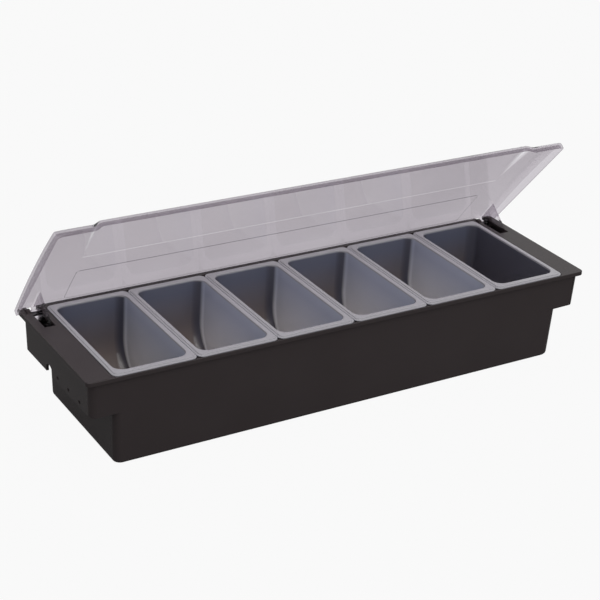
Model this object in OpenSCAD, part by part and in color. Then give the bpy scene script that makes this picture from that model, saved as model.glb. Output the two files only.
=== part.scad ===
// Condiment caddy: a long tray with hollow end grips, six lift-out pans and one clear hinged lid.
// Millimetres. The origin is the centre of the tray's base, +X runs along the tray,
// +Y points to the hinge side and +Z points up. The lid is drawn open, as it rests.

/* [Pans] */
// Centre distance of neighbouring pans
pan_pitch = 74.8; // [65:0.1:85]
// Gap between the rims of neighbouring pans
pan_gap = 0.4; // [0.3:0.1:1]
// Length of a pan's rim from front to back
pan_l = 136.9; // [110:0.1:160]
// Gap between the underside of the pans and the floor of the trough
pan_under = 5.5; // [4.5:0.1:30]
// Wall and floor of a pan
pan_wall = 1.5; // [1:0.1:2.5]
// Thickness of a pan's rim
rim_t = 2; // [1.5:0.1:3]
// Width of the rim along the long sides of a pan
rim_side = 5; // [4.5:0.1:8]
// Width of the rim at the front and back of a pan
rim_end = 6.7; // [5.5:0.1:10]
// Corner radius of the rim
rim_r = 5.5; // [2:0.5:10]
// Corner radius of the mouth inside the rim
mouth_r = 9; // [4:0.5:20]
// Radius of the edge at the foot of a pan's side walls
pan_edge = 8; // [3:0.5:15]
// Radius of the scoop at the foot of a pan's front and back walls
pan_scoop = 38; // [16:1:45]
// How far the pans sit forward of the middle of the trough
pan_forward = 0.95; // [0:0.05:1.5]

/* [Tray] */
// Height from the base to the top of the flange
tray_h = 83.5; // [80:0.5:110]
// Wall of the trough and of the end grips
wall = 2.5; // [2:0.1:4]
// Floor of the trough
tray_floor = 3; // [2:0.1:5]
// Thickness of the flange
flange_t = 3.9; // [3:0.1:6]
// Corner radius of the flange seen from above
flange_r = 4; // [1:0.5:10]
// How far the flange stands out past the front wall
over_front = 2.5; // [1:0.1:6]
// How far the flange stands out past the back wall
over_back = 5.5; // [4:0.1:9]
// How far the flange stands out past the outer face of an end grip
over_end = 3.5; // [1:0.1:8]
// Depth of the seat that the rims lie in
seat_depth = 1; // [0.5:0.1:2]
// Draft of the walls, degrees
draft = 1.66; // [0:0.01:2]
// Vertical corner radius of the walls
corner_r = 6; // [3:0.5:12]
// Radius of the edge round the base
base_edge = 4; // [1:0.5:8]

/* [End grips] */
// Width of a hollow end grip beyond the end wall of the trough
grip_w = 20.3; // [18:0.1:30]
// Height of the skirt of an end grip below the flange
grip_h = 30.4; // [26:0.1:50]
// Radius of the round notch in the lower edge of the skirt
notch_r = 6.3; // [3:0.1:9]
// Place of the notch along the skirt
notch_y = 15.2; // [-20:0.1:40]
// Diameter of the three small holes in each skirt
skirt_hole_d = 3; // [2:0.1:5]
// Centre distance of the small holes
skirt_hole_pitch = 21.65; // [10:0.05:24]
// Place of the hole nearest to the notch
skirt_hole_y = -2.3; // [-10:0.1:2]
// Height of the small holes above the lower edge of the skirt
skirt_hole_up = 4.5; // [3:0.1:10]
// Height of the notch's centre above the lower edge of the skirt
notch_up = 2.1; // [0:0.1:3]

/* [Hinge] */
// Distance of the hinge axis from the back edge of the flange
hinge_in = 9; // [8:0.1:12]
// Distance of the hinge axis below the top of the flange
hinge_down = 3.5; // [3:0.1:5]
// Radius of the hinge pin
pin_r = 2; // [1.5:0.1:2.5]
// Wall of a cheek left in front of each end of the pin
pin_cover = 0.5; // [0.3:0.1:1]
// Radial clearance of the pin in its bores
pin_fit = 0.05; // [0.03:0.01:0.1]
// Radius of the lid's round boss on the pin
boss_r = 4; // [3.5:0.1:4.5]
// Radius of the tray's round cheeks beside the boss
cheek_r = 5.5; // [5:0.1:6]
// Thickness of a cheek
cheek_t = 3.3; // [2.5:0.1:4]
// Width of the slot between the cheeks
slot_w = 9.4; // [7:0.1:10]
// Distance of the slot's middle from the outer face of the end grip
slot_in = 9.5; // [8.6:0.1:10]
// Side gap between a boss and a cheek
boss_gap = 0.3; // [0.2:0.05:0.6]

/* [Lid] */
// Thickness of the lid
lid_t = 2; // [1.5:0.1:3]
// Height of the lid's crown above the flange when it is closed
lid_rise = 7.6; // [7.2:0.1:15]
// Radius of the lid's shallow arch from front to back
lid_arch_r = 1095; // [700:5:3000]
// How far the top of the arch lies forward of the middle
lid_arch_forward = 8; // [0:0.5:20]
// Radius of the lid's front edge
lid_edge_r = 5; // [5:0.5:8]
// Corner radius of the lid seen from above
lid_corner_r = 6; // [3:0.5:12]
// Gap between the flange's ends and the lid's end skirts
lid_side_gap = 0.4; // [0.3:0.1:1]
// Gap between the flange's front edge and the lid's front skirt
lid_front_gap = 0.6; // [0.5:0.1:6]
// How far the lid reaches past the hinge axis
lid_back = 2.6; // [2:0.1:3.5]
// Height of the skirts below the crown
lid_skirt = 8.4; // [7:0.1:12]
// How far the middle of the front edge is raised as a finger lip
lip_rise = 2.75; // [1:0.05:4]
// Half length of the finger lip
lip_half = 213; // [120:1:220]
// Distance from the lid's front to the start of the finger lip
lip_d = 62; // [30:1:90]
// Depth of the shallow panel moulded in the lid's back half
panel_depth = 0.5; // [0.2:0.1:0.8]
// Length of the shallow panel
panel_l = 412; // [200:1:440]
// Width of the shallow panel from front to back
panel_w = 47.6; // [20:0.1:55]
// Corner radius of the shallow panel
panel_r = 9; // [3:0.5:15]
// Distance from the lid's back edge to the shallow panel
panel_in = 3; // [3:0.5:15]
// Thickness of the fin below each end of the lid
fin_t = 2.5; // [2:0.1:4]
// Reach of a fin from the hinge axis
fin_reach = 32.3; // [26:0.1:34]
// Distance from the hinge axis to a fin's front edge when closed
fin_front = 25.7; // [20:0.1:27]
// Radius of a fin's tip
fin_tip_r = 3; // [2:0.1:5]
// Gap between a fin's tip and the front end of its slot
fin_gap = 0.7; // [0.4:0.1:2]
// How far the lid is open at rest, degrees
open_angle = 50; // [40:1:50]
// Gap between the open lid's back edge and the flange
stop_gap = 0.3; // [0.2:0.05:0.6]

/* [Fits] */
// Gap under the rims of the pans
seat_gap = 0.3; // [0.2:0.05:0.5]
// Gap between the end pans and the ends of the opening
pan_play = 0.45; // [0.35:0.05:1]
// Gap between the pans and the front and back of the opening
pan_end_play = 1.8; // [0.5:0.1:3]
// Gap between the rims and the sides of their seat
rim_play = 0.4; // [0.3:0.05:1]

/* [Hidden] */
$fn = 96;
blend_fn = 32;
arch_fn = 720;
edge_steps = 4;
scoop_steps = 9;
skin = 0.01;
past = 1;
taper = tan(draft);
pan_count = 6;
sides = [-1, 1];

// Pans
pan_w = pan_pitch - pan_gap;
rim_top = tray_h - seat_depth + seat_gap + rim_t;
pan_bottom = tray_floor + pan_under;
pan_body_x = pan_w / 2 - rim_side + pan_wall;
pan_body_y = pan_l / 2 - rim_end + pan_wall;

// Trough, opening and seat
row_half = pan_count * pan_pitch / 2;
opening_x = (pan_count - 1) * pan_pitch / 2 + pan_body_x + pan_play;
opening_y = pan_body_y + pan_end_play;
trough_x = opening_x + wall;
trough_y = opening_y + pan_forward + wall;
seat_x = row_half - pan_gap / 2 + rim_play;
seat_y = pan_l / 2 + rim_play;
flange_bottom = tray_h - flange_t;

// End grips and flange
grip_x = trough_x + grip_w;
grip_bottom = flange_bottom - grip_h;
flange_x = grip_x + over_end;
flange_front = -(trough_y + over_front);
flange_back = trough_y + over_back;
skirt_hole_z = grip_bottom + skirt_hole_up;

// Hinge
hinge_y = flange_back - hinge_in;
hinge_z = tray_h - hinge_down;
slot_x = grip_x - slot_in;
slot_front = hinge_y - fin_reach - fin_gap;
cheek_end = slot_w / 2 + cheek_t;
pin_end = cheek_end - pin_cover;

// Lid, closed
lid_x = flange_x + lid_side_gap + lid_t;
lid_front = flange_front - lid_front_gap - lid_t;
lid_rear = hinge_y + lid_back;
lid_top = tray_h + lid_rise;
lid_low = lid_top - lid_skirt;
arch_y = -lid_arch_forward;
arch_z = lid_top - lid_arch_r;
lip_start = lid_front + lip_d;
lip_tilt = atan(lip_rise / lip_d);
lip_pivot = [lip_start, arch_z + sqrt(pow(lid_arch_r, 2) - pow(lip_start - arch_y, 2))];
lip_arm = [arch_y, arch_z] - lip_pivot;
lip_centre = lip_pivot + [lip_arm[0] * cos(lip_tilt) + lip_arm[1] * sin(lip_tilt),
                          lip_arm[1] * cos(lip_tilt) - lip_arm[0] * sin(lip_tilt)];

// A rectangle with round corners, centred
module round_rect(x, y, r) {
    square([2 * x - 2 * r, 2 * y], center = true);
    square([2 * x, 2 * y - 2 * r], center = true);
    for (sx = sides, sy = sides)
        translate([sx * (x - r), sy * (y - r)])
            circle(r);
}

// A block that narrows downwards by the draft. Its lower edge is rounded, with a larger radius
// at the front and back where scoop is given.
module drafted_block(x, y, r, low, high, edge, scoop = 0) {
    rise = max(edge, scoop);
    steps = scoop > edge ? scoop_steps : edge_steps;
    hull() {
        translate([0, 0, high])
            linear_extrude(skin)
                round_rect(x, y, r, $fn = blend_fn);
        for (i = [0 : steps]) {
            a = 90 * i / steps;
            up = rise * (1 - cos(a));
            lean = (high - low - up) * taper;
            in_x = edge - sqrt(pow(edge, 2) - pow(max(edge - up, 0), 2));
            in_y = rise * (1 - sin(a));
            translate([0, 0, low + up])
                linear_extrude(skin)
                    round_rect(x - lean - in_x, y - lean - in_y, r, $fn = blend_fn);
        }
    }
}

// Turns a drawing in Y and Z into a bar along X
module along_x(half) {
    rotate([90, 0, 90])
        linear_extrude(2 * half, center = true)
            children();
}

// A round bar along X
module bar_x(r, half) {
    rotate([0, 90, 0])
        cylinder(r = r, h = 2 * half, center = true);
}

// Tray: trough, end grips and flange in one moulding
module trough_hollow() {
    drafted_block(trough_x - wall, trough_y - wall, corner_r - wall,
                  tray_floor, flange_bottom, base_edge - wall / 2);
}

module grip_shell(side) {
    mid = grip_x - grip_w;
    translate([side * mid, 0, 0])
        difference() {
            drafted_block(grip_w, trough_y, corner_r, grip_bottom, flange_bottom, skin);
            translate([0, 0, -skin])
                drafted_block(grip_w - wall, trough_y - wall, corner_r - wall,
                              grip_bottom, flange_bottom, skin);
        }
}

module flange_plate() {
    translate([0, (flange_front + flange_back) / 2, flange_bottom])
        linear_extrude(flange_t)
            round_rect(flange_x, (flange_back - flange_front) / 2, flange_r);
}

module pan_opening() {
    translate([0, -pan_forward, flange_bottom])
        linear_extrude(flange_t + past)
            round_rect(opening_x, opening_y, corner_r - wall, $fn = blend_fn);
    translate([0, -pan_forward, tray_h - seat_depth])
        linear_extrude(seat_depth + past)
            round_rect(seat_x, seat_y, rim_r);
}

module hinge_slot() {
    translate([-slot_w / 2, slot_front, flange_bottom - skin])
        cube([slot_w, flange_back - slot_front + past, flange_t + past]);
    translate([-slot_w / 2, hinge_y - cheek_r - past, hinge_z - cheek_r - past])
        cube([slot_w, hinge_in + cheek_r + 2 * past, 2 * (cheek_r + past)]);
}

module skirt_cuts(side) {
    through = over_end + 2 * wall;
    translate([side * grip_x, 0, 0]) {
        for (i = [0 : 2])
            translate([0, skirt_hole_y - i * skirt_hole_pitch, skirt_hole_z])
                bar_x(skirt_hole_d / 2, through);
        translate([0, notch_y, grip_bottom + notch_up])
            bar_x(notch_r, through);
    }
}

module tray() color([0.17, 0.17, 0.18]) {
    difference() {
        union() {
            drafted_block(trough_x, trough_y, corner_r, 0, flange_bottom, base_edge);
            for (s = sides)
                grip_shell(s);
            flange_plate();
            for (s = sides)
                translate([s * slot_x, hinge_y, hinge_z])
                    bar_x(cheek_r, cheek_end);
        }
        trough_hollow();
        pan_opening();
        for (s = sides) {
            skirt_cuts(s);
            translate([s * slot_x, 0, 0])
                hinge_slot();
            translate([s * slot_x, hinge_y, hinge_z])
                bar_x(pin_r + pin_fit, pin_end + pin_fit);
        }
    }
}

// Pans
module pan_shape() {
    difference() {
        union() {
            translate([0, 0, rim_top - rim_t])
                linear_extrude(rim_t)
                    round_rect(pan_w / 2, pan_l / 2, rim_r);
            drafted_block(pan_body_x, pan_body_y, mouth_r + pan_wall,
                          pan_bottom, rim_top - rim_t, pan_edge, pan_scoop);
        }
        drafted_block(pan_body_x - pan_wall, pan_body_y - pan_wall, mouth_r,
                      pan_bottom + pan_wall, rim_top + skin,
                      pan_edge - pan_wall, pan_scoop - pan_wall);
    }
}

module pan(i) color([0.56, 0.57, 0.6]) {
    translate([(i - (pan_count + 1) / 2) * pan_pitch, -pan_forward, 0])
        pan_shape();
}

// Lid, drawn closed and then turned open about the hinge
function arch_top(y, t) =
    arch_z + sqrt(pow(lid_arch_r - t, 2) - pow(y - arch_y, 2));

// Section in Y and Z below an arch about the centre c, moved in by t
module lid_section(t, rear, low, c) {
    cy = lid_front + lid_edge_r;
    cz = c[1] + sqrt(pow(lid_arch_r - lid_edge_r, 2) - pow(cy - c[0], 2));
    intersection() {
        translate(c)
            circle(lid_arch_r - t, $fn = arch_fn);
        translate([cy, low])
            square([rear - cy, 2 * lid_top]);
    }
    translate([cy, cz])
        circle(lid_edge_r - t);
    translate([lid_front + t, low])
        square([lid_edge_r - t, cz - low]);
}

module lid_block(t, rear, low) {
    along_x(lid_x - t)
        lid_section(t, rear, low, [arch_y, arch_z]);
    along_x(lip_half - t)
        lid_section(t, lip_start + lid_edge_r, low, lip_centre);
}

module lid_plan() {
    translate([0, (lid_front + lid_rear) / 2, lid_low - past])
        linear_extrude(lid_skirt + lip_rise + 2 * past)
            round_rect(lid_x, (lid_rear - lid_front) / 2, lid_corner_r);
}

module finger_gap() {
    translate([-lip_half, lid_front - past, lid_low - past])
        cube([2 * lip_half, lid_t + 2 * past, lip_rise + past]);
}

module back_panel() {
    intersection() {
        translate([0, lid_rear - panel_in - panel_w / 2, lid_low])
            linear_extrude(lid_skirt + past)
                round_rect(panel_l / 2, panel_w / 2, panel_r);
        difference() {
            along_x(panel_l / 2)
                lid_section(-past, lid_rear, lid_low, [arch_y, arch_z]);
            along_x(lid_x)
                lid_section(panel_depth, lid_rear + past, lid_low - past, [arch_y, arch_z]);
        }
    }
}

module closed_shell() {
    difference() {
        intersection() {
            lid_block(0, lid_rear, lid_low);
            lid_plan();
        }
        lid_block(lid_t, lid_rear + past, lid_low - past);
        finger_gap();
        back_panel();
    }
}

module fin_shape() {
    tip_y = fin_front - fin_tip_r;
    tip_z = sqrt(pow(fin_reach - fin_tip_r, 2) - pow(tip_y, 2));
    root = arch_top(hinge_y - fin_front, lid_t / 2) - hinge_z;
    back_root = arch_top(lid_rear - lid_t, lid_t / 2) - hinge_z;
    hull() {
        translate([-tip_y, -tip_z])
            circle(fin_tip_r, $fn = blend_fn);
        circle(boss_r, $fn = blend_fn);
        translate([-fin_front, 0])
            square([skin, root]);
        square([lid_back - lid_t / 2, back_root]);
    }
}

// Drawn from the hinge axis
module fin() {
    along_x(fin_t / 2)
        fin_shape();
    bar_x(boss_r, slot_w / 2 - boss_gap);
}

// Everything below the flange's top face, between the end skirts
module stop_cut() {
    low = lid_low - 2 * lid_skirt;
    high = tray_h + stop_gap;
    translate([-flange_x - lid_side_gap / 2, lid_front, low])
        cube([2 * flange_x + lid_side_gap, 2 * flange_back - lid_front, high - low]);
}

module opened() {
    translate([0, hinge_y, hinge_z])
        rotate([-open_angle, 0, 0])
            children();
}

module lid() color([0.74, 0.73, 0.76, 0.5]) {
    difference() {
        union() {
            difference() {
                opened()
                    translate([0, -hinge_y, -hinge_z])
                        closed_shell();
                stop_cut();
            }
            for (s = sides)
                translate([s * slot_x, 0, 0])
                    opened()
                        fin();
        }
        for (s = sides)
            translate([s * slot_x, hinge_y, hinge_z])
                bar_x(pin_r + pin_fit, slot_w);
    }
}

// Hinge pins
module hinge_pin(side) color([0.5, 0.5, 0.52]) {
    translate([side * slot_x, hinge_y, hinge_z])
        bar_x(pin_r, pin_end);
}

tray();
lid();
pan(1);  // pan_1
pan(2);  // pan_2
pan(3);  // pan_3
pan(4);  // pan_4
pan(5);  // pan_5
pan(6);  // pan_6
hinge_pin(-1);  // hinge_pin_left
hinge_pin(1);  // hinge_pin_right
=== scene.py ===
"""Condiment caddy: a black tray with hollow end grips, six lift-out pans and one clear hinged lid.

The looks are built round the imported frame. Sizes are in millimetres, as in the part's source, and
every finished mesh is scaled to metres. +X runs along the tray, +Y points to the hinge side and +Z
points up. The lid is modelled closed and then turned open about its pins, as it rests.
"""

import logging
import math
from dataclasses import dataclass
from enum import Enum

import bmesh
import bpy
from mathutils import Matrix, Vector


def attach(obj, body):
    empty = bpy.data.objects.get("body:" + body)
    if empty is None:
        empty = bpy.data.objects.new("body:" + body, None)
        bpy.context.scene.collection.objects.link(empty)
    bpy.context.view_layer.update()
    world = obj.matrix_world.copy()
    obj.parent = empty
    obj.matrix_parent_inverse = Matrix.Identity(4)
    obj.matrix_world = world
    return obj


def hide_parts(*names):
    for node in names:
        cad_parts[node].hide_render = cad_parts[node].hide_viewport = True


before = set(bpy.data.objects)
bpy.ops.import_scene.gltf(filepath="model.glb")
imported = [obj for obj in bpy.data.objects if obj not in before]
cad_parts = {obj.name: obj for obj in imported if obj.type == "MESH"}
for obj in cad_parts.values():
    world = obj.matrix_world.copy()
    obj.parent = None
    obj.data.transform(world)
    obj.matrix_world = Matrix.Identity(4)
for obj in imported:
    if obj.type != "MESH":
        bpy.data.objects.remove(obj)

LOG = logging.getLogger("caddy")
METRES = 0.001
CORNER_STEPS = 8
BAR_STEPS = 40
MERGE = 0.001
TINY = 0.01
WHITE = (1, 1, 1, 1)
HINGE_AT = (65, 80)
HINGE_ALONG = 234.45
OPEN_ANGLE = 50

Pair = tuple[float, float]
Triple = tuple[float, float, float]
Stops = tuple[tuple[float, int], ...]


class Side(Enum):
    """The two ends of the caddy, with the sign of their X."""

    LEFT = -1
    RIGHT = 1


class Join(Enum):
    """How one closed mesh changes another."""

    ADD = "UNION"
    CUT = "DIFFERENCE"


class Reading(Enum):
    """What a material reads of the spot that it shades."""

    PLACE = "Object"
    FACING = "Normal"


# Mesh work


@dataclass(frozen=True)
class Ring:
    """A level rectangle with round corners, one step of a loft."""

    half_x: float
    half_y: float
    corner: float
    height: float

    def add_to(self, bm: bmesh.types.BMesh) -> bmesh.types.BMFace:
        """Draws the ring as one face.

        Args:
            bm: The mesh that the face is added to.

        Returns:
            The new face.
        """
        corners = bmesh.ops.create_grid(bm, x_segments=1, y_segments=1, size=1)["verts"]
        bmesh.ops.scale(bm, vec=(self.half_x, self.half_y, 1), verts=corners)
        bmesh.ops.translate(bm, vec=(0, 0, self.height), verts=corners)
        rounded = bmesh.ops.bevel(
            bm, geom=corners, offset=self.corner, offset_type="OFFSET", affect="VERTICES",
            segments=CORNER_STEPS, profile=0.5, material=-1, clamp_overlap=False)
        return rounded["verts"][0].link_faces[0]


def loft(bm: bmesh.types.BMesh, rings: list[Ring]) -> None:
    """Joins rings in order into one closed skin, with the first and last as its caps.

    Args:
        bm: The mesh that the skin is added to.
        rings: The rings from one end of the skin to the other.
    """
    faces = [ring.add_to(bm) for ring in rings]
    loops = [list(face.edges) for face in faces]
    bmesh.ops.delete(bm, geom=faces[1:-1], context="FACES_ONLY")
    for near, far in zip(loops, loops[1:]):
        bmesh.ops.bridge_loops(bm, edges=near + far)


def close_up(bm: bmesh.types.BMesh) -> None:
    """Merges doubled points and turns every face outwards.

    Args:
        bm: The mesh, which has no gaps.
    """
    bmesh.ops.remove_doubles(bm, verts=bm.verts, dist=MERGE)
    bmesh.ops.dissolve_degenerate(bm, dist=MERGE, edges=bm.edges)
    bmesh.ops.recalc_face_normals(bm, faces=bm.faces)


def draft_object(bm: bmesh.types.BMesh, name: str) -> bpy.types.Object:
    """Puts a mesh into an object of the scene, still in millimetres.

    Args:
        bm: The mesh, which is freed.
        name: The object's name.

    Returns:
        The new object.
    """
    mesh = bpy.data.meshes.new(name)
    bm.to_mesh(mesh)
    bm.free()
    made = bpy.data.objects.new(name, mesh)
    bpy.context.scene.collection.objects.link(made)
    return made


def combine(target: bpy.types.Object, tool: bpy.types.Object, how: Join) -> None:
    """Adds a closed mesh to another or cuts it away, and removes the tool.

    Args:
        target: The object that changes.
        tool: The object that is added or cut away.
        how: Whether the tool adds or cuts.
    """
    step = target.modifiers.new(how.name.lower(), "BOOLEAN")
    step.operation = how.value
    step.solver = "EXACT"
    step.object = tool
    bpy.context.view_layer.update()
    graph = bpy.context.evaluated_depsgraph_get()
    result = bpy.data.meshes.new_from_object(target.evaluated_get(graph))
    target.modifiers.clear()
    old = target.data
    target.data = result
    bpy.data.meshes.remove(old)
    spent = tool.data
    bpy.data.objects.remove(tool)
    bpy.data.meshes.remove(spent)


def round_bar(bm: bmesh.types.BMesh, radius: float, half: float, centre: Vector,
              edge: float) -> None:
    """Turns a round bar along X, with softened ends, by spinning its outline.

    Args:
        bm: The mesh that the bar is added to.
        radius: The bar's radius.
        half: Half its length.
        centre: Its middle.
        edge: The chamfer at its ends.
    """
    outline = [(-half, 0), (-half, radius - edge), (edge - half, radius),
               (half - edge, radius), (half, radius - edge), (half, 0)]
    points = [bm.verts.new(centre + Vector((x, 0, r))) for x, r in outline]
    lines = [bm.edges.new(pair) for pair in zip(points, points[1:])]
    bmesh.ops.spin(bm, geom=points + lines, cent=centre, axis=(1, 0, 0), dvec=(0, 0, 0),
                   angle=math.tau, steps=BAR_STEPS, use_merge=True, use_duplicate=False)


def smooth_step(value: float) -> float:
    """Eases from 0 to 1 as the value goes from 0 to 1."""
    value = min(max(value, 0.0), 1.0)
    return value * value * (3 - 2 * value)


def stations(*stops: tuple[float, int]) -> list[float]:
    """Places along a line, even between stops.

    Args:
        stops: Each stop's place and the number of steps that lead to it from the last one.

    Returns:
        All the places, the stops among them.
    """
    places = [stops[0][0]]
    for (start, _), (end, steps) in zip(stops, stops[1:]):
        places += [start + (end - start) * (k + 1) / steps for k in range(steps)]
    return places


# Finishes


def group_tree(name: str, inputs: dict[str, float], *outputs: str
               ) -> tuple[bpy.types.NodeTree, bpy.types.NodeOutputs, bpy.types.NodeInputs]:
    """Starts a shader node group that takes and gives plain numbers.

    Args:
        name: The group's name.
        inputs: Each number that the group takes, with its default.
        outputs: The names of the numbers that it gives.

    Returns:
        The group, the sockets that bring its inputs and the sockets that take its outputs.
    """
    tree = bpy.data.node_groups.new(name, "ShaderNodeTree")
    for label, default in inputs.items():
        made = tree.interface.new_socket(label, in_out="INPUT", socket_type="NodeSocketFloat")
        made.default_value = default
    for label in outputs:
        tree.interface.new_socket(label, in_out="OUTPUT", socket_type="NodeSocketFloat")
    return (tree, tree.nodes.new("NodeGroupInput").outputs,
            tree.nodes.new("NodeGroupOutput").inputs)


def set_values(sockets: bpy.types.NodeInputs, values: dict[str, float | tuple]) -> None:
    """Gives each named input of a node its number or colour."""
    for label, value in values.items():
        sockets[label].default_value = value


def place_group(tree: bpy.types.NodeTree, name: str,
                values: dict[str, float]) -> bpy.types.NodeOutputs:
    """Adds a node group to a node tree.

    Args:
        tree: The tree that gets the node.
        name: The group's name.
        values: The value of each of its inputs.

    Returns:
        The sockets of its outputs.
    """
    made = tree.nodes.new("ShaderNodeGroup")
    made.node_tree = bpy.data.node_groups[name]
    set_values(made.inputs, values)
    return made.outputs


def maths(tree: bpy.types.NodeTree, operation: str,
          *values: bpy.types.NodeSocket | float) -> bpy.types.NodeSocket:
    """Adds one calculation to a node tree.

    Args:
        tree: The tree that gets the node.
        operation: What it calculates.
        values: Its inputs, each a number or a socket.

    Returns:
        The result's socket.
    """
    step = tree.nodes.new("ShaderNodeMath")
    step.operation = operation
    for socket, value in zip(step.inputs, values):
        if isinstance(value, float):
            socket.default_value = value
        else:
            tree.links.new(value, socket)
    return step.outputs["Value"]


def product(tree: bpy.types.NodeTree, first: bpy.types.NodeSocket | float,
            *others: bpy.types.NodeSocket | float) -> bpy.types.NodeSocket:
    """Adds the product of two or more values to a node tree.

    Args:
        tree: The tree that gets the nodes.
        first: The first value, a number or a socket.
        others: The values that it is multiplied by.

    Returns:
        The result's socket.
    """
    for other in others:
        first = maths(tree, "MULTIPLY", first, other)
    return first


def ramp(tree: bpy.types.NodeTree, value: bpy.types.NodeSocket, start: float,
         end: float) -> bpy.types.NodeSocket:
    """Adds a mask that eases from 0 to 1 as a value goes from start to end.

    Args:
        tree: The tree that gets the node.
        value: The socket of the value.
        start: The value at which the mask is 0.
        end: The value at which it is 1.

    Returns:
        The mask's socket.
    """
    made = tree.nodes.new("ShaderNodeMapRange")
    made.interpolation_type = "SMOOTHSTEP"
    set_values(made.inputs, {"From Min": start, "From Max": end})
    tree.links.new(value, made.inputs["Value"])
    return made.outputs["Result"]


def blend(tree: bpy.types.NodeTree, share: bpy.types.NodeSocket,
          near: bpy.types.NodeSocket | Triple,
          far: bpy.types.NodeSocket | Triple) -> bpy.types.NodeSocket:
    """Adds a mix of two shades to a node tree.

    Args:
        tree: The tree that gets the node.
        share: The socket of the mask, 0 for the near shade and 1 for the far one.
        near: A colour or a socket.
        far: A colour or a socket.

    Returns:
        The mixed shade's socket.
    """
    mix = tree.nodes.new("ShaderNodeMix")
    mix.data_type = "RGBA"
    tree.links.new(share, mix.inputs["Factor"])
    for label, shade in (("A", near), ("B", far)):
        if isinstance(shade, tuple):
            mix.inputs[label].default_value = (*shade, 1)
        else:
            tree.links.new(shade, mix.inputs[label])
    return mix.outputs["Result"]


def read_surface(tree: bpy.types.NodeTree, reading: Reading) -> bpy.types.NodeOutputs:
    """Adds the X, Y and Z of a surface's place or direction to a node tree.

    Args:
        tree: The tree that gets the nodes.
        reading: What is read.

    Returns:
        The sockets of X, Y and Z.
    """
    where = tree.nodes.new("ShaderNodeTexCoord")
    split = tree.nodes.new("ShaderNodeSeparateXYZ")
    tree.links.new(where.outputs[reading.value], split.inputs["Vector"])
    return split.outputs


def moulded_grain(detail: float = 3, softness: float = 0.5) -> None:
    """Makes the group for the fine spark-eroded grain of a mould, a height from 0 to 1.

    Args:
        detail: How fine the soft part of the grain is broken up.
        softness: The share of the soft part beside the round cells.
    """
    tree, taken, given = group_tree("moulded_grain", {"Pitch": 1200.0}, "Height")
    where = tree.nodes.new("ShaderNodeTexCoord")
    fine = tree.nodes.new("ShaderNodeTexNoise")
    cells = tree.nodes.new("ShaderNodeTexVoronoi")
    cells.feature = "SMOOTH_F1"
    for pattern in (fine, cells):
        tree.links.new(where.outputs["Object"], pattern.inputs["Vector"])
        tree.links.new(taken["Pitch"], pattern.inputs["Scale"])
    mix = tree.nodes.new("ShaderNodeMix")
    set_values(fine.inputs, {"Detail": detail})
    set_values(mix.inputs, {"Factor": softness})
    tree.links.new(cells.outputs["Distance"], mix.inputs["A"])
    tree.links.new(fine.outputs["Fac"], mix.inputs["B"])
    tree.links.new(mix.outputs["Result"], given["Height"])


def clouding(detail: float = 4, roughness: float = 0.45) -> None:
    """Makes the group for slow, uneven clouding, a mask from 0 to 1 with its middle at 0.5.

    Args:
        detail: How fine the clouds are broken up.
        roughness: How strong their fine part is.
    """
    tree, taken, given = group_tree("clouding", {"Pitch": 20.0, "Contrast": 1.0}, "Mask")
    where = tree.nodes.new("ShaderNodeTexCoord")
    drift = tree.nodes.new("ShaderNodeTexNoise")
    set_values(drift.inputs, {"Detail": detail, "Roughness": roughness})
    tree.links.new(where.outputs["Object"], drift.inputs["Vector"])
    tree.links.new(taken["Pitch"], drift.inputs["Scale"])
    away = maths(tree, "SUBTRACT", drift.outputs["Fac"], 0.5)
    mask = maths(tree, "MULTIPLY_ADD", away, taken["Contrast"], 0.5)
    mask.node.use_clamp = True
    tree.links.new(mask, given["Mask"])


def height_band() -> None:
    """Makes the group for a mask that rises from 0 at the low height to 1 at the high one."""
    tree, taken, given = group_tree("height_band", {"Low": 0.0, "High": 1.0}, "Mask")
    rise = tree.nodes.new("ShaderNodeMapRange")
    tree.links.new(read_surface(tree, Reading.PLACE)["Z"], rise.inputs["Value"])
    tree.links.new(taken["Low"], rise.inputs["From Min"])
    tree.links.new(taken["High"], rise.inputs["From Max"])
    tree.links.new(rise.outputs["Result"], given["Mask"])


def painted_wall_shading(side_wall: Pair = (0.75, 0.99)) -> None:
    """Makes the group of painted light and shade masks for the walls of a row of pans, from the
    surface's direction and place.

    Between is 1 on the side walls that have another pan behind them, up to half the row's length,
    where light from the next pan is painted.
    Unlit is 1 on the side walls at the row's ends, and in the upright corners, where shade is
    painted.

    Args:
        side_wall: How far sideways a surface faces where the side wall fades in and is whole.
    """
    tree, taken, given = group_tree("painted_wall_shading", {"Row Half": 0.2}, "Between", "Unlit")
    facing, place = (read_surface(tree, what) for what in (Reading.FACING, Reading.PLACE))
    sideways = maths(tree, "ABSOLUTE", facing["X"])
    side = ramp(tree, sideways, *side_wall)
    inner = maths(tree, "LESS_THAN", maths(tree, "ABSOLUTE", place["X"]), taken["Row Half"])
    outer = product(tree, side, maths(tree, "SUBTRACT", 1.0, inner))
    # X times Y is at most a half, in the middle of a corner, where the painted shade is darkest.
    corner = product(tree, 2.0, sideways, maths(tree, "ABSOLUTE", facing["Y"]))
    tree.links.new(product(tree, side, inner), given["Between"])
    tree.links.new(maths(tree, "MAXIMUM", outer, corner), given["Unlit"])


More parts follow.
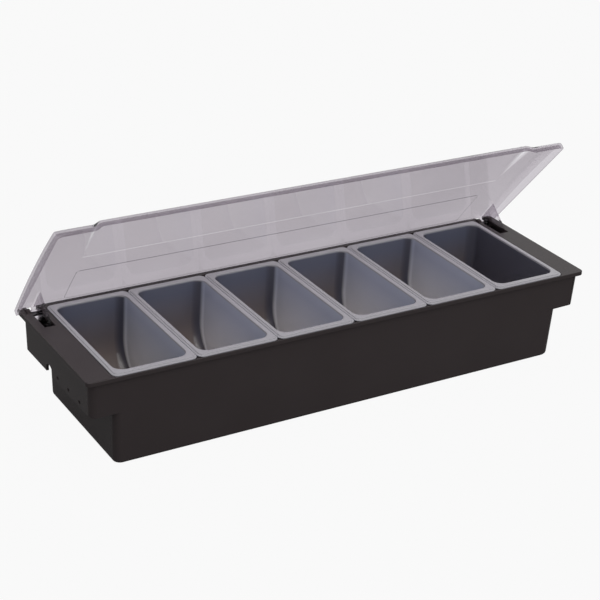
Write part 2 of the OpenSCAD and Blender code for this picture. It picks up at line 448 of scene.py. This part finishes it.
def painted_lid_lines(upright_end: Pair = (0.5, 0.9), not_level: Pair = (0.985, 0.88),
              not_upright: Pair = (0.3, 0.5)) -> None:
    """Makes the group of painted light and shade masks for the open lid: its ends and fins, the
    lines of its lip and its panel.

    Open is how far the lid is turned, in radians. A sloping spot is a line of the finger lip where
    it lies between Lip From and Lip To, measured from the origin along the lid's own forward
    direction, and a line of the panel behind them. Row Half bounds both along the lid.

    Args:
        upright_end: How far sideways a surface faces where an end fades in and is whole.
        not_level: How far a surface faces up from the lid where a slope fades in and is whole.
        not_upright: The same for a slope beside an upright wall.
    """
    tree, taken, given = group_tree(
        "painted_lid_lines", {"Open": 0.87, "Lip From": 0.085, "Lip To": 0.15, "Row Half": 0.22},
        "Ends", "Lip", "Panel")
    facing, place = (read_surface(tree, what) for what in (Reading.FACING, Reading.PLACE))
    lean, rise = (maths(tree, name, taken["Open"]) for name in ("COSINE", "SINE"))
    level = maths(tree, "ABSOLUTE", maths(tree, "ADD", product(tree, facing["Y"], rise),
                                          product(tree, facing["Z"], lean)))
    forward = maths(tree, "SUBTRACT", product(tree, place["Z"], rise),
                    product(tree, place["Y"], lean))
    within = maths(tree, "LESS_THAN", maths(tree, "ABSOLUTE", place["X"]), taken["Row Half"])
    sloping = product(tree, within, ramp(tree, level, *not_level),
                      ramp(tree, level, *not_upright))
    ahead = maths(tree, "GREATER_THAN", forward, taken["Lip From"])
    short = maths(tree, "LESS_THAN", forward, taken["Lip To"])
    ends = ramp(tree, maths(tree, "ABSOLUTE", facing["X"]), *upright_end)
    # The ends and fins get painted light.
    tree.links.new(ends, given["Ends"])
    # The lines of the lip get a painted highlight, those of the panel painted shade.
    tree.links.new(product(tree, sloping, ahead, short), given["Lip"])
    tree.links.new(product(tree, sloping, maths(tree, "SUBTRACT", 1.0, ahead)), given["Panel"])


@dataclass(frozen=True, kw_only=True)
class Finish:
    """A moulded plastic whose roughness drifts with a slow clouding of its surface."""

    name: str
    slot: str
    roughness: Pair
    cloud_pitch: float
    cloud_contrast: float = 1.0

    def material(self) -> bpy.types.Material:
        """Builds the node material.

        Returns:
            The material.
        """
        made = bpy.data.materials.new(self.name)
        made.use_nodes = True
        tree = made.node_tree
        shader = tree.nodes["Principled BSDF"].inputs
        cloud = place_group(tree, "clouding", {
            "Pitch": self.cloud_pitch, "Contrast": self.cloud_contrast})["Mask"]
        satin = tree.nodes.new("ShaderNodeMapRange")
        set_values(satin.inputs, {"To Min": self.roughness[0], "To Max": self.roughness[1]})
        tree.links.new(cloud, satin.inputs["Value"])
        tree.links.new(satin.outputs["Result"], shader["Roughness"])
        self.dress(tree, shader, cloud)
        return made

    def dress(self, tree: bpy.types.NodeTree, shader: bpy.types.NodeInputs,
              cloud: bpy.types.NodeSocket) -> None:
        """Adds what each kind of finish has of its own.

        Args:
            tree: The material's node tree.
            shader: The inputs of its shader.
            cloud: The mask of its clouding.
        """
        raise NotImplementedError


@dataclass(frozen=True, kw_only=True)
class MouldedFinish(Finish):
    """A solid-coloured plastic with the grain of its mould, clouded in shade too."""

    shade: Triple
    light_shade: Triple
    specular: float
    grain_pitch: float
    grain_depth: float
    cloud_contrast: float = 1.6

    def dress(self, tree: bpy.types.NodeTree, shader: bpy.types.NodeInputs,
              cloud: bpy.types.NodeSocket) -> None:
        """Adds the clouded shade, the shine and the grain.

        Args:
            tree: The material's node tree.
            shader: The inputs of its shader.
            cloud: The mask of its clouding.
        """
        grain = place_group(tree, "moulded_grain", {"Pitch": self.grain_pitch})
        bump = tree.nodes.new("ShaderNodeBump")
        set_values(bump.inputs, {"Distance": self.grain_depth * METRES})
        tree.links.new(grain["Height"], bump.inputs["Height"])
        tree.links.new(bump.outputs["Normal"], shader["Normal"])
        tree.links.new(blend(tree, cloud, self.shade, self.light_shade), shader["Base Color"])
        set_values(shader, {"Specular IOR Level": self.specular})


@dataclass(frozen=True, kw_only=True)
class PaintedShadingFinish(Finish):
    """A thin satin plastic, opaque here, with light and shade painted into its colour.

    The walls between two pans get painted light for the light that comes through from the next pan,
    paler low down. The walls that stand before the black tray and the upright corners get painted
    shade, the back walls a warm painted reflection low down, and the rim, which light reaches from
    all sides, painted light.
    """

    # Shades in order: the back walls' plain shade, a warm painted reflection low on them, painted
    # shade, painted light between pans, the same paler low down, and painted light on the rim.
    back: Triple
    low: Triple
    unlit: Triple
    between: Triple
    between_low_light: Triple
    rim: Triple
    painted_low_band: Pair
    rim_light_band: Pair
    row_half: float
    gloss: float
    gloss_roughness: float

    def dress(self, tree: bpy.types.NodeTree, shader: bpy.types.NodeInputs,
              cloud: bpy.types.NodeSocket) -> None:
        """Adds the painted light and shade of the walls and the rim, and the shine.

        Args:
            tree: The material's node tree.
            shader: The inputs of its shader.
            cloud: The mask of its clouding; not used.
        """
        walls = place_group(tree, "painted_wall_shading", {"Row Half": self.row_half * METRES})
        # Height masks: the low band fades out the painted reflection and painted light low on the
        # walls, the rim band fades in the rim's painted light.
        upper, rim = (
            place_group(tree, "height_band", {"Low": low * METRES, "High": high * METRES})["Mask"]
            for low, high in (self.painted_low_band, self.rim_light_band))
        # A warm painted reflection low on the back walls, fading out up the wall.
        plain = blend(tree, upper, self.low, self.back)
        # Painted shade on the end side walls and in the upright corners.
        shaded = blend(tree, walls["Unlit"], plain, self.unlit)
        # Painted light on the walls between pans, for the light that comes through from the next
        # pan, paler low down.
        lit = blend(tree, upper, self.between_low_light, self.between)
        walled = blend(tree, walls["Between"], shaded, lit)
        # Painted light on the rim, paler than the walls.
        tree.links.new(blend(tree, rim, walled, self.rim), shader["Base Color"])
        set_values(shader, {"Coat Weight": self.gloss, "Coat Roughness": self.gloss_roughness})


@dataclass(frozen=True, kw_only=True)
class ClearFinish(Finish):
    """A clear plastic with a faint smoky tint, slightly clouded.

    Its upright ends and fins get a paler tint as painted light, the lines of its lip a near-white
    tint as a painted highlight, and the lines of its panel a darker tint as painted shade.
    """

    tint: Triple
    clouded_tint: Triple
    end_light_tint: Triple
    lip_highlight_tint: Triple
    panel_shade_tint: Triple
    lip_span: Pair
    row_half: float
    ior: float
    gloss: float

    def dress(self, tree: bpy.types.NodeTree, shader: bpy.types.NodeInputs,
              cloud: bpy.types.NodeSocket) -> None:
        """Adds the tints, with painted light, a painted highlight and painted shade on the ends and
        lines, the clearness and the shine.

        Args:
            tree: The material's node tree.
            shader: The inputs of its shader.
            cloud: The mask of its clouding.
        """
        lines = place_group(tree, "painted_lid_lines", {
            "Open": math.radians(OPEN_ANGLE), "Lip From": self.lip_span[0] * METRES,
            "Lip To": self.lip_span[1] * METRES, "Row Half": self.row_half * METRES})
        tinted = blend(tree, cloud, self.tint, self.clouded_tint)
        # Painted light on the ends and fins, a painted highlight on the lip's lines, painted shade
        # on the panel's lines.
        for mask, tint in (("Ends", self.end_light_tint), ("Lip", self.lip_highlight_tint),
                           ("Panel", self.panel_shade_tint)):
            tinted = blend(tree, lines[mask], tinted, tint)
        tree.links.new(tinted, shader["Base Color"])
        set_values(shader, {
            "Transmission Weight": 1, "IOR": self.ior, "Coat Weight": self.gloss})


BLACK_PLASTIC = MouldedFinish(
    name="black_moulded_plastic", slot="tray", shade=(0.0410, 0.0330, 0.0340),
    light_shade=(0.0475, 0.0390, 0.0401), roughness=(0.19, 0.26), specular=0.18,
    grain_pitch=1500, grain_depth=0.02, cloud_pitch=14)
# The pan colours hold painted light and shade: paler walls between pans and a paler rim, darker
# corners and end walls, and a warm painted reflection low on the back walls.
GREY_PLASTIC = PaintedShadingFinish(
    name="grey_thin_plastic", slot="pan", back=(0.106, 0.114, 0.160), low=(0.190, 0.150, 0.135),
    unlit=(0.072, 0.072, 0.098), between=(0.470, 0.500, 0.620), between_low_light=(1.0, 0.99, 1.0),
    rim=(0.400, 0.390, 0.420), painted_low_band=(30, 74), rim_light_band=(82.4, 83.8), row_half=203,
    roughness=(0.30, 0.40), gloss=0.5, gloss_roughness=0.12, cloud_pitch=18)
PIN_PLASTIC = MouldedFinish(
    name="dark_smooth_plastic", slot="pin", shade=(0.040, 0.036, 0.038),
    light_shade=(0.050, 0.046, 0.048), roughness=(0.22, 0.30), specular=0.4,
    grain_pitch=900, grain_depth=0.004, cloud_pitch=60)
# The lid's end, lip and panel tints are painted light, a painted highlight and painted shade.
CLEAR_PLASTIC = ClearFinish(
    name="clear_smoky_plastic", slot="lid", tint=(0.475, 0.44, 0.48),
    clouded_tint=(0.565, 0.53, 0.57), end_light_tint=(0.66, 0.63, 0.67), lip_highlight_tint=(0.98, 0.97, 1.0),
    panel_shade_tint=(0.12, 0.11, 0.13), lip_span=(85, 150), row_half=220, roughness=(0.02, 0.05),
    ior=1.03, gloss=0.55, cloud_pitch=9)


def hand_over(piece: bpy.types.Object, finish: Finish, body: str, *nodes: str,
              smooth_angle: float = 32) -> None:
    """Scales a finished mesh to metres, dresses it and puts it on its body.

    Args:
        piece: The object, in millimetres.
        finish: The finish that it gets.
        body: The body that it moves with.
        nodes: The frame's nodes that it stands for.
        smooth_angle: The angle in degrees below which an edge shades smoothly.
    """
    mesh = piece.data
    mesh.transform(Matrix.Scale(METRES, 4))
    mesh.shade_smooth()
    mesh.set_sharp_from_angle(angle=math.radians(smooth_angle))
    mesh.materials.clear()
    mesh.materials.append(bpy.data.materials.get(finish.name) or finish.material())
    weigh = piece.modifiers.new("weighted_normals", "WEIGHTED_NORMAL")
    weigh.keep_sharp = True
    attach(piece, body)
    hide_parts(*nodes)
    LOG.info("%s: %d faces on %s", piece.name, len(mesh.polygons), body)


# Sub-assemblies


@dataclass
class Tray:
    """The black tray: trough, flange, hollow end grips and hinge cheeks in one moulding."""

    edge: float = 0.5
    edge_steps: int = 3
    sharp_angle: float = 40
    flat_angle: float = 0.3

    def build(self) -> None:
        """Softens every outer edge of the moulding's shape and dresses it."""
        bm = bmesh.new()
        bm.from_mesh(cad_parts["tray"].data)
        bmesh.ops.scale(bm, vec=Vector((1, 1, 1)) / METRES, verts=bm.verts)
        bmesh.ops.remove_doubles(bm, verts=bm.verts, dist=TINY)
        bmesh.ops.dissolve_limit(
            bm, angle_limit=math.radians(self.flat_angle), verts=bm.verts, edges=bm.edges,
            use_dissolve_boundaries=False)
        ridges = [edge for edge in bm.edges if edge.is_manifold and edge.is_convex
                  and edge.calc_face_angle() > math.radians(self.sharp_angle)]
        bmesh.ops.bevel(
            bm, geom=ridges, offset=self.edge, offset_type="OFFSET", affect="EDGES",
            segments=self.edge_steps, profile=0.5, material=-1, clamp_overlap=False,
            loop_slide=True)
        bmesh.ops.dissolve_degenerate(bm, dist=TINY, edges=bm.edges)
        close_up(bm)
        hand_over(draft_object(bm, "tray_moulding"), BLACK_PLASTIC, "tray", "tray")


@dataclass
class Pan:
    """One lift-out pan with its stepped rim.

    The rim has an outer ledge. The upstand inside it ends in a rounded lip at the mouth.
    """

    number: int
    pitch: float = 74.8
    count: int = 6
    forward: float = 0.95
    rim_half: Pair = (37.2, 68.45)
    rim_corner: float = 5.5
    rim_low: float = 82.8
    rim_high: float = 84.8
    under_edge: float = 0.25
    ledge: float = 1.8
    ledge_drop: float = 0.9
    ledge_round: float = 0.4
    ledge_round_middle: float = 0.12
    upstand_foot: Pair = (0.2, 0.12)
    upstand_lean: float = 0.1
    upstand_top: Pair = (0.35, 0.15)
    mouth_half: Pair = (32.2, 61.75)
    mouth_corner: float = 9
    lip: float = 0.8
    lip_steps: int = 3
    wall: float = 1.5
    low: float = 8.5
    side_edge: float = 8
    scoop: float = 38
    scoop_steps: int = 14
    draft: float = 1.66

    def walls(self, inset: float, high: float) -> list[Ring]:
        """Rings of a drafted wall above its rounded foot, from the floor up.

        The foot has a small radius at the sides and a large one at the front and back.

        Args:
            inset: How far the wall stands in from the pan's outer face.
            high: The height of its top.

        Returns:
            The rings from the floor to the top.
        """
        half_x = self.mouth_half[0] + self.wall - inset
        half_y = self.mouth_half[1] + self.wall - inset
        corner = self.mouth_corner + self.wall - inset
        edge, scoop, low = self.side_edge - inset, self.scoop - inset, self.low + inset
        rings = []
        for turn in stations((0, 0), (math.pi / 2, self.scoop_steps)):
            up = scoop * (1 - math.cos(turn))
            lean = (high - low - up) * math.tan(math.radians(self.draft))
            in_x = edge - math.sqrt(edge ** 2 - max(edge - up, 0) ** 2)
            in_y = scoop * (1 - math.sin(turn))
            rings.append(Ring(half_x - lean - in_x, half_y - lean - in_y, corner, low + up))
        return rings + [Ring(half_x, half_y, corner, high)]

    def rim(self) -> list[Ring]:
        """Rings of the rim from its underside, round the outside and in to the mouth.

        Returns:
            The rings in order.
        """
        x, y = self.rim_half
        step, middle = self.rim_high - self.ledge_drop, self.ledge_round_middle
        foot_in, foot_up = self.upstand_foot
        top_in, top_down = self.upstand_top
        outer = [(self.under_edge, self.rim_low), (0, self.rim_low + self.under_edge),
                 (0, step - self.ledge_round), (middle, step - middle),
                 (self.ledge_round, step), (self.ledge - foot_in, step),
                 (self.ledge, step + foot_up),
                 (self.ledge + self.upstand_lean, self.rim_high - top_down),
                 (self.ledge + top_in, self.rim_high)]
        rings = [Ring(x - back, y - back, self.rim_corner - back, z) for back, z in outer]
        mouth_x, mouth_y = self.mouth_half
        for turn in stations((0, 0), (math.pi / 2, self.lip_steps)):
            out = self.lip * (1 - math.sin(turn))
            rings.append(Ring(mouth_x + out, mouth_y + out, self.mouth_corner + out,
                              self.rim_high - self.lip * (1 - math.cos(turn))))
        return rings

    def build(self) -> None:
        """Lofts the pan, sets it in its place and dresses it."""
        bm = bmesh.new()
        outside = self.walls(0, self.rim_low)
        inside = self.walls(self.wall, self.rim_high - self.lip)
        loft(bm, outside + self.rim() + inside[-2::-1])
        close_up(bm)
        along = (self.number - (self.count + 1) / 2) * self.pitch
        bmesh.ops.translate(bm, vec=(along, -self.forward, 0), verts=bm.verts)
        name = f"pan_{self.number}"
        hand_over(draft_object(bm, f"{name}_shell"), GREY_PLASTIC, name, name)


@dataclass
class Lid:
    """The long clear lid: arched plate, skirts, raised finger lip, shallow panel and two fins."""

    half: float = 249.85
    front: float = -73.6
    rear: float = 67.6
    crown: float = 91.1
    low: float = 82.7
    thickness: float = 2
    arch: float = 1095
    arch_y: float = -8
    front_edge: float = 5
    end_edge: float = 1.5
    corner: float = 6
    lip_start: float = -11.6
    lip_rise: float = 2.75
    lip_half: float = 208.7
    lip_end_width: Pair = (1.4, 8.8)
    crease_step: float = 0.25
    crease_width: float = 0.3
    panel_half: Pair = (206, 23.8)
    panel_y: float = 40.8
    panel_corner: float = 3.5
    panel_depth: float = 0.5
    panel_step: float = 0.5
    rows_behind: Stops = ((65.1, 2), (64.1, 4), (55, 8), (26.6, 6), (17.5, 9), (16.5, 4))
    rows_to_crease: int = 6
    crease_rows: int = 3
    lip_rows: int = 12
    edge_rows: int = 9
    skirt_rows: int = 3
    columns_along: Stops = ((195, 13), (205.4, 11), (206.6, 5), (208, 2), (217.5, 12))
    columns_beside: int = 6
    end_columns: int = 4
    end_skirt: Pair = (0.5, 1.0)
    least_edge: float = 0.5
    hinge: Pair = HINGE_AT
    open_angle: float = OPEN_ANGLE
    stop_height: float = 83.8
    stop_half: float = 247.65
    stop_depth: float = 30
    fin_x: float = HINGE_ALONG
    fin_thickness: float = 2.5
    fin_reach: float = 32.3
    fin_front: float = 25.7
    fin_tip: float = 3
    fin_steps: int = 32
    fin_flat_angle: float = 1
    boss: float = 4
    boss_half: float = 4.4
    boss_edge: float = 0.4
    bore: float = 2.05
    smooth_angle: float = 24

    def lip_centre(self) -> Pair:
        """Centre of the arch after it is tipped up about the start of the finger lip.

        Returns:
            Its Y and Z.
        """
        centre_z = self.crown - self.arch
        pivot_z = centre_z + math.sqrt(self.arch ** 2 - (self.lip_start - self.arch_y) ** 2)
        tilt = math.atan(self.lip_rise / (self.lip_start - self.front))
        arm_y, arm_z = self.arch_y - self.lip_start, centre_z - pivot_z
        return (self.lip_start + arm_y * math.cos(tilt) + arm_z * math.sin(tilt),
                pivot_z + arm_z * math.cos(tilt) - arm_y * math.sin(tilt))

    def profile(self, inset: float, raised: bool) -> list[Pair]:
        """The lid's section from its back edge to the foot of its front skirt.

        Args:
            inset: How far the section lies inside the outer face.
            raised: Whether it is taken through the finger lip.

        Returns:
            Points of Y and Z.
        """
        flat_y, flat_z = self.arch_y, self.crown - self.arch
        y_c, z_c = self.lip_centre() if raised else (flat_y, flat_z)
        reach = self.arch - inset
        behind = stations((self.rear, 0), *self.rows_behind,
                          (self.lip_start + self.crease_width, self.rows_to_crease),
                          (self.lip_start, self.crease_rows))
        points = [(y, flat_z + math.sqrt(reach ** 2 - (y - flat_y) ** 2)) for y in behind]
        edge_y = self.front + self.front_edge
        edge_z = z_c + math.sqrt((self.arch - self.front_edge) ** 2 - (edge_y - y_c) ** 2)
        lean = math.atan2(y_c - edge_y, edge_z - z_c)
        radius = self.front_edge - inset
        tangent = edge_y - radius * math.sin(lean)
        for y in stations((self.lip_start, 0),
                          (self.lip_start - self.crease_width, self.crease_rows),
                          (tangent, self.lip_rows))[1:]:
            points.append((y, z_c + math.sqrt(reach ** 2 - (y - y_c) ** 2)))
        for turn in stations((lean, 0), (math.pi / 2, self.edge_rows))[1:]:
            points.append((edge_y - radius * math.sin(turn), edge_z + radius * math.cos(turn)))
        foot = self.low + (self.lip_rise if raised else 0)
        for z in stations((edge_z, 0), (foot, self.skirt_rows))[1:]:
            points.append((self.front + inset, z))
        return points

    def columns(self, inset: float) -> list[Triple]:
        """The lid's columns from the foot of one end skirt to the other.

        Args:
            inset: How far the skin lies inside the outer face.

        Returns:
            For each column its X, its further inset and how far it goes down the end skirt.
        """
        edge = max(self.end_edge - inset, self.least_edge)
        end = self.half - inset
        right = [(x, 0.0, 0.0) for x in stations(
            (0, 0), *self.columns_along, (self.half - self.end_edge, self.columns_beside))]
        right[-1] = (end - edge, 0.0, 0.0)
        for turn in stations((0, 0), (math.pi / 2, self.end_columns))[1:]:
            right.append((end - edge * (1 - math.sin(turn)), edge * (1 - math.cos(turn)), 0.0))
        right += [(end, edge, down) for down in self.end_skirt]
        return [(-x, more, down) for x, more, down in right[:0:-1]] + right

    def panel_share(self, x: float, y: float) -> float:
        """How far a place lies in the shallow panel.

        Args:
            x: Its place along the lid.
            y: Its place from front to back.

        Returns:
            0 beside the panel and 1 on its floor.
        """
        over_x = abs(x) - self.panel_half[0] + self.panel_corner
        over_y = abs(y - self.panel_y) - self.panel_half[1] + self.panel_corner
        away = (math.hypot(max(over_x, 0), max(over_y, 0)) + min(max(over_x, over_y), 0)
                - self.panel_corner)
        return smooth_step(0.5 - away / self.panel_step)

    def lip_share(self, x: float, y: float) -> float:
        """How far the finger lip is raised at a place.

        Its side walls have one slope, so they widen as the lip rises to the front.

        Args:
            x: The place along the lid.
            y: The place from front to back.

        Returns:
            0 beside the lip and 1 on it.
        """
        forward = min(max((self.lip_start - y) / (self.lip_start - self.front), 0), 1)
        thin, wide = self.lip_end_width
        width = thin + (wide - thin) * forward
        return smooth_step((self.lip_half + width - abs(x)) / width)

    def inner_relief(self, x: float, y: float) -> float:
        """How far the inner face is set in at a place, in front of the crease of the lip."""
        ahead = smooth_step(0.5 + (self.lip_start - y) / (2 * self.crease_width))
        return self.crease_step * ahead * self.lip_share(x, y)

    def rounded(self, x: float, y: float) -> Pair:
        """Pulls a place near a front corner in, so that the corner is round from above.

        Args:
            x: The place along the lid.
            y: The place from front to back.

        Returns:
            Its new X and Y.
        """
        over_x = abs(x) - (self.half - self.corner)
        over_y = self.front + self.corner - y
        if over_x <= 0 or over_y <= 0:
            return x, y
        pull = max(over_x, over_y) / math.hypot(over_x, over_y)
        return (math.copysign(self.half - self.corner + over_x * pull, x),
                self.front + self.corner - over_y * pull)

    def skin(self, bm: bmesh.types.BMesh, inset: float) -> None:
        """Adds one face of the shell: a grid shaped to the section, the ends and the lip.

        Args:
            bm: The mesh that the skin is added to.
            inset: How far the skin lies inside the outer face.
        """
        columns = self.columns(inset)
        rows = len(self.profile(inset, False))
        grid = bmesh.ops.create_grid(
            bm, x_segments=len(columns) - 1, y_segments=rows - 1, size=0.5)["verts"]
        shapes = {}
        for vert in grid:
            across = round((vert.co.x + 0.5) * (len(columns) - 1))
            down = round((vert.co.y + 0.5) * (rows - 1))
            x, more, drop = columns[across]
            key = round(inset + more, 6)
            if key not in shapes:
                shapes[key] = (self.profile(key, False), self.profile(key, True))
            plain, raised = (shape[down] for shape in shapes[key])
            lip = self.lip_share(x, plain[0])
            y = plain[0] + (raised[0] - plain[0]) * lip
            z = plain[1] + (raised[1] - plain[1]) * lip
            z += (self.low - z) * drop
            if inset:
                z += self.inner_relief(x, y)
            else:
                z -= self.panel_depth * self.panel_share(x, y)
            vert.co = (*self.rounded(x, y), z)

    def shell(self) -> bpy.types.Object:
        """Closes the outer and inner skins into one shell and turns it open.

        Returns:
            The shell.
        """
        bm = bmesh.new()
        self.skin(bm, 0)
        self.skin(bm, self.thickness)
        bmesh.ops.remove_doubles(bm, verts=bm.verts, dist=MERGE)
        bmesh.ops.dissolve_degenerate(bm, dist=MERGE, edges=bm.edges)
        rim = [edge for edge in bm.edges if edge.is_boundary]
        bmesh.ops.bridge_loops(bm, edges=rim)
        close_up(bm)
        self.turn_open(bm)
        return draft_object(bm, "lid_shell")

    def turn_open(self, bm: bmesh.types.BMesh) -> None:
        """Turns a mesh that is drawn closed to where the lid rests."""
        bmesh.ops.rotate(
            bm, verts=bm.verts, cent=(0, *self.hinge),
            matrix=Matrix.Rotation(-math.radians(self.open_angle), 3, "X"))

    def stop(self) -> bpy.types.Object:
        """The block that is cut off the back edge, so that the open lid clears the flange.

        Returns:
            The block.
        """
        bm = bmesh.new()
        bmesh.ops.create_cube(bm, size=1)
        bmesh.ops.scale(bm, vec=(2 * self.stop_half, 2 * self.hinge[0], self.stop_depth),
                        verts=bm.verts)
        bmesh.ops.translate(
            bm, vec=(0, self.hinge[0], self.stop_height - self.stop_depth / 2), verts=bm.verts)
        return draft_object(bm, "stop_block")

    def fin(self, side: Side) -> bpy.types.Object:
        """One fin with its boss, as a closed mesh.

        Args:
            side: The end of the lid that it belongs to.

        Returns:
            The fin, turned open.
        """
        y_h, z_h = self.hinge
        tip_y = self.fin_front - self.fin_tip
        tip_z = math.sqrt((self.fin_reach - self.fin_tip) ** 2 - tip_y ** 2)
        middle = self.arch - self.thickness / 2

        def under(y: float) -> float:
            """Height of the middle of the plate above the axis."""
            return (self.crown - self.arch - z_h
                    + math.sqrt(middle ** 2 - (y - self.arch_y) ** 2))

        back = self.rear - y_h - self.thickness / 2
        bm = bmesh.new()
        for y, z, radius in ((-tip_y, -tip_z, self.fin_tip), (0, 0, self.boss)):
            circle = bmesh.ops.create_circle(bm, segments=self.fin_steps, radius=radius)["verts"]
            bmesh.ops.rotate(bm, verts=circle, matrix=Matrix.Rotation(math.pi / 2, 3, "Y"))
            bmesh.ops.translate(bm, vec=(0, y, z), verts=circle)
        for y, z in ((-self.fin_front, 0), (-self.fin_front, under(y_h - self.fin_front)),
                     (back, under(self.rear))):
            bm.verts.new((0, y, z))
        bmesh.ops.translate(bm, vec=(-self.fin_thickness / 2, 0, 0), verts=bm.verts)
        twin = bmesh.ops.duplicate(bm, geom=list(bm.verts))["geom"]
        bmesh.ops.translate(bm, vec=(self.fin_thickness, 0, 0), verts=twin)
        bmesh.ops.convex_hull(bm, input=bm.verts)
        bmesh.ops.dissolve_limit(
            bm, angle_limit=math.radians(self.fin_flat_angle), verts=bm.verts, edges=bm.edges,
            use_dissolve_boundaries=False)
        centre = Vector((side.value * self.fin_x, y_h, z_h))
        bmesh.ops.translate(bm, vec=centre, verts=bm.verts)
        self.turn_open(bm)
        close_up(bm)
        made = draft_object(bm, "fin_plate")
        for radius, half, how in ((self.boss, self.boss_half, Join.ADD),
                                  (self.bore, 2 * self.boss_half, Join.CUT)):
            bar = bmesh.new()
            round_bar(bar, radius, half, centre, self.boss_edge)
            close_up(bar)
            combine(made, draft_object(bar, "boss_bar"), how)
        return made

    def build(self) -> None:
        """Assembles the lid and dresses it."""
        lid = self.shell()
        combine(lid, self.stop(), Join.CUT)
        for side in Side:
            combine(lid, self.fin(side), Join.ADD)
        hand_over(lid, CLEAR_PLASTIC, "lid", "lid", smooth_angle=self.smooth_angle)


@dataclass
class Pin:
    """One hinge pin between its two cheeks."""

    side: Side
    along: float = HINGE_ALONG
    axis: Pair = HINGE_AT
    radius: float = 2
    half: float = 7.5
    chamfer: float = 0.4

    def build(self) -> None:
        """Turns the pin and dresses it."""
        bm = bmesh.new()
        round_bar(bm, self.radius, self.half,
                  Vector((self.side.value * self.along, *self.axis)), self.chamfer)
        close_up(bm)
        name = f"hinge_pin_{self.side.name.lower()}"
        hand_over(draft_object(bm, f"{name}_bar"), PIN_PLASTIC, "tray", name)


# Studio


@dataclass
class Studio:
    """Pale floor, white surroundings, soft lights and the camera."""

    camera_at: Triple = (-0.6778561, -1.0524196, 0.6785772)
    yaw: float = 0.5628
    pitch: float = 0.4508
    roll: float = 0.0559
    lens: float = 94.77
    surround_light: float = 0.55
    sky_gloss: float = 0.55
    floor_half: float = 14
    floor_shade: float = 0.15
    floor_roughness: float = 0.9
    floor_specular: float = 0.1
    floor_gloss: float = 0.1
    shadow_share: float = 0.06
    aim: Triple = (0, 0, 0.05)
    lights: tuple[tuple[str, Triple, float, float], ...] = (
        ("key_front", (-0.3, -1.2, 2.2), 1.3, 9),
        ("fill_front", (0.3, -1.9, 1.1), 1.8, 11),
        ("top", (0.1, 0.1, 2.3), 1.6, 3.5))

    def show(self, tree: bpy.types.NodeTree, output: str, lit: bpy.types.Node,
             seen: bpy.types.Node, mirrored: float, whole: float) -> None:
        """Shows one shader to the eye and through clear plastic, and another as a light.

        Args:
            tree: The material or world that gets the nodes.
            output: The name of its output node.
            lit: The shader that lights the caddy.
            seen: The shader that is looked at.
            mirrored: The share of the second one in reflections.
            whole: Its share where it is looked at.
        """
        path = tree.nodes.new("ShaderNodeLightPath").outputs
        rays = maths(tree, "MAXIMUM", path["Is Camera Ray"],
                     product(tree, path["Is Glossy Ray"], mirrored))
        rays = maths(tree, "MAXIMUM", rays, path["Is Transmission Ray"])
        mix = tree.nodes.new("ShaderNodeMixShader")
        tree.links.new(product(tree, rays, whole), mix.inputs["Fac"])
        for socket, shader in zip(list(mix.inputs)[1:], (lit, seen)):
            tree.links.new(shader.outputs[0], socket)
        tree.links.new(mix.outputs["Shader"], tree.nodes[output].inputs["Surface"])

    def surround(self) -> None:
        """Makes the world: white to look at, softer as a light."""
        world = bpy.data.worlds.new("studio_white")
        bpy.context.scene.world = world
        world.use_nodes = True
        tree = world.node_tree
        seen, lamp = tree.nodes["Background"], tree.nodes.new("ShaderNodeBackground")
        for part, strength in ((seen, 1), (lamp, self.surround_light)):
            set_values(part.inputs, {"Color": WHITE, "Strength": strength})
        self.show(tree, "World Output", lamp, seen, self.sky_gloss, 1.0)

    def floor(self) -> None:
        """Lays the pale floor, which keeps a faint shadow of the caddy."""
        bm = bmesh.new()
        bmesh.ops.create_grid(bm, x_segments=1, y_segments=1, size=self.floor_half)
        made = draft_object(bm, "studio_floor")
        finish = bpy.data.materials.new("floor_white")
        finish.use_nodes = True
        tree = finish.node_tree
        matt, glow = tree.nodes["Principled BSDF"], tree.nodes.new("ShaderNodeEmission")
        set_values(matt.inputs, {
            "Base Color": (*(self.floor_shade,) * 3, 1), "Roughness": self.floor_roughness,
            "Specular IOR Level": self.floor_specular})
        self.show(tree, "Material Output", matt, glow, self.floor_gloss, 1 - self.shadow_share)
        made.data.materials.append(finish)

    def light(self) -> None:
        """Hangs the soft square lights, all turned to the caddy."""
        target = Vector(self.aim)
        for name, place, size, power in self.lights:
            lamp = bpy.data.lights.new(name, "AREA")
            lamp.shape = "SQUARE"
            lamp.size = size
            lamp.energy = power
            made = bpy.data.objects.new(name, lamp)
            bpy.context.scene.collection.objects.link(made)
            made.location = place
            made.rotation_euler = (target - Vector(place)).to_track_quat("-Z", "Y").to_euler()

    def camera(self) -> None:
        """Sets the camera at the photograph's place and angle."""
        data = bpy.data.cameras.new("camera")
        data.lens = self.lens
        made = bpy.data.objects.new("camera", data)
        bpy.context.scene.collection.objects.link(made)
        sin_y, cos_y = math.sin(self.yaw), math.cos(self.yaw)
        ahead = Vector((sin_y * math.cos(self.pitch), cos_y * math.cos(self.pitch),
                        -math.sin(self.pitch)))
        level = Vector((cos_y, -sin_y, 0))
        up = level.cross(ahead)
        right = level * math.cos(self.roll) + up * math.sin(self.roll)
        made.matrix_world = Matrix.Translation(self.camera_at) @ Matrix(
            (right, up * math.cos(self.roll) - level * math.sin(self.roll), -ahead)
        ).transposed().to_4x4()
        bpy.context.scene.camera = made

    def build(self) -> None:
        """Builds everything that isn't the caddy."""
        bpy.context.scene.view_settings.view_transform = "Standard"
        self.surround()
        self.floor()
        self.light()
        self.camera()
        LOG.info("studio: %d lights", len(self.lights))


def main() -> None:
    """Builds the caddy and its studio."""
    logging.basicConfig(level=logging.INFO, format="%(name)s: %(message)s")
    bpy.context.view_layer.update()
    moulded_grain()
    clouding()
    height_band()
    painted_wall_shading()
    painted_lid_lines()
    Studio().build()
    Tray().build()
    for number in range(1, Pan.count + 1):
        Pan(number).build()
    Lid().build()
    for side in Side:
        Pin(side).build()


if __name__ == "__main__":
    main()
